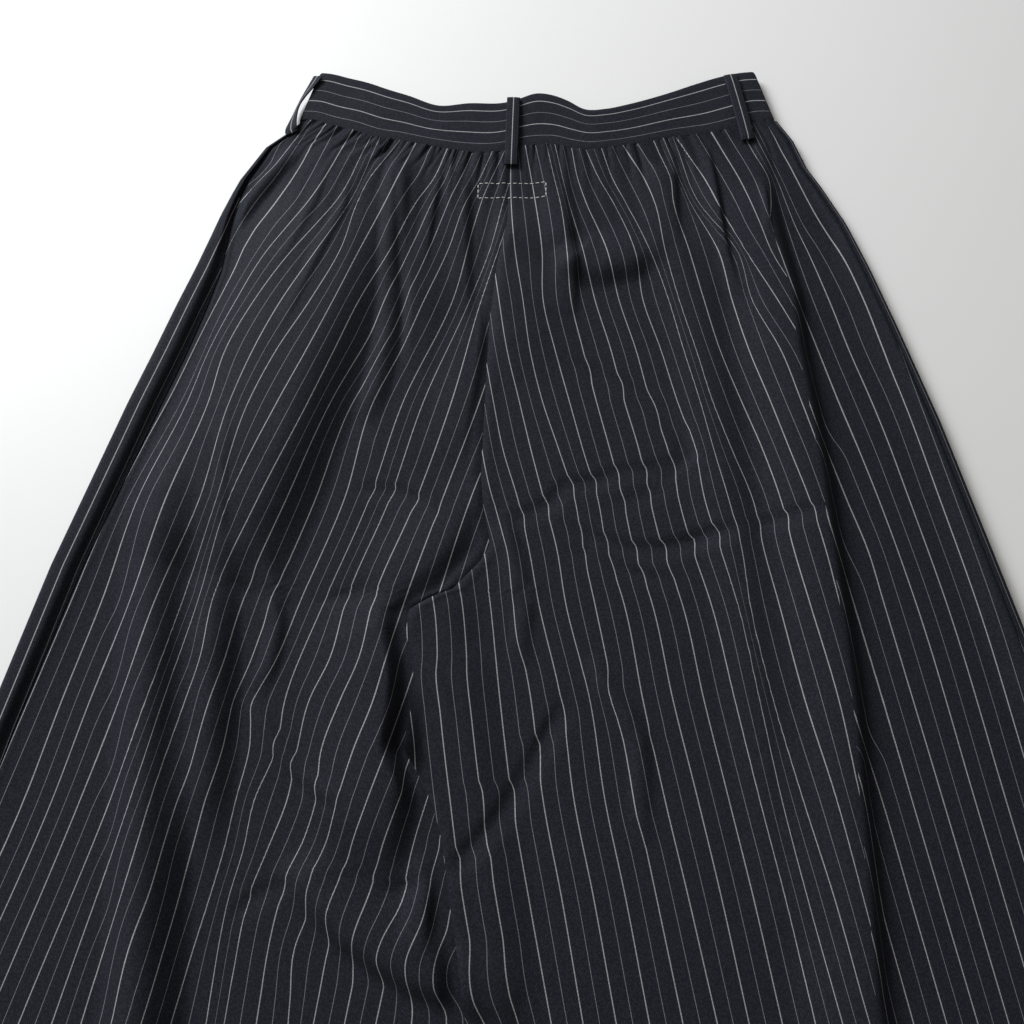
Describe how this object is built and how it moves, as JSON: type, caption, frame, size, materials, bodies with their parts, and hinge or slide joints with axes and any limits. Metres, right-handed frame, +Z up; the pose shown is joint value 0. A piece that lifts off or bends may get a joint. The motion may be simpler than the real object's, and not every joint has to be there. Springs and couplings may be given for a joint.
{
  "type": "wide-leg trousers",
  "caption": "Wide-leg trousers with a gathered waistband and belt loops, laid flat with the back side up and one leg's inner edge over the other.",
  "frame": {"origin": "centre of the footprint, on the surface the trousers lie on", "axes": "+Z up, +Y towards the waistband, +X towards the right of the picture, back side up"},
  "size_m": [0.8696, 1.0124, 0.0195],
  "materials": {
    "suiting": "matt dark twill with fine pale stripes",
    "zip_tape": "matt"
  },
  "bodies": {
    "root": {"waistband": "suiting", "back_left": "suiting", "back_right": "suiting", "front_left": "suiting", "front_right": "suiting", "belt_loop_back": "suiting", "belt_loop_right": "suiting", "belt_loop_left": "suiting", "belt_loop_front_left": "suiting", "belt_loop_front_right": "suiting", "front_zip": "zip_tape"}
  },
  "joints": []
}
